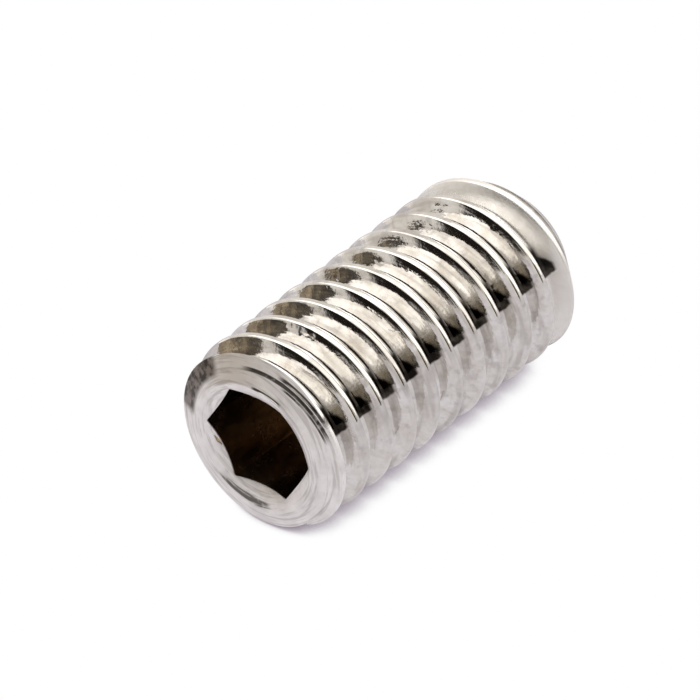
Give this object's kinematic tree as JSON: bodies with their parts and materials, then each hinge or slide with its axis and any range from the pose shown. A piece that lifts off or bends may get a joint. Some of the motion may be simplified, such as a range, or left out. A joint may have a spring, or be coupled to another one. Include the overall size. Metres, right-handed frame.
{
  "type": "grub set screw",
  "caption": "Headless steel set screw, threaded along its whole length, with a hexagon socket in one end and a chamfered flat point at the other.",
  "frame": {"origin": "centre of the flat point's face, which is the bottom of the standing screw", "axes": "+Z along the screw's axis toward the socket end; a corner of the hexagon socket points to -Y"},
  "size_m": [0.004, 0.004, 0.008],
  "materials": {
    "stainless_steel": "bare stainless steel, rolled and turned, bright with fine tool marks"
  },
  "bodies": {
    "root": {"set_screw": "stainless_steel"}
  },
  "joints": []
}
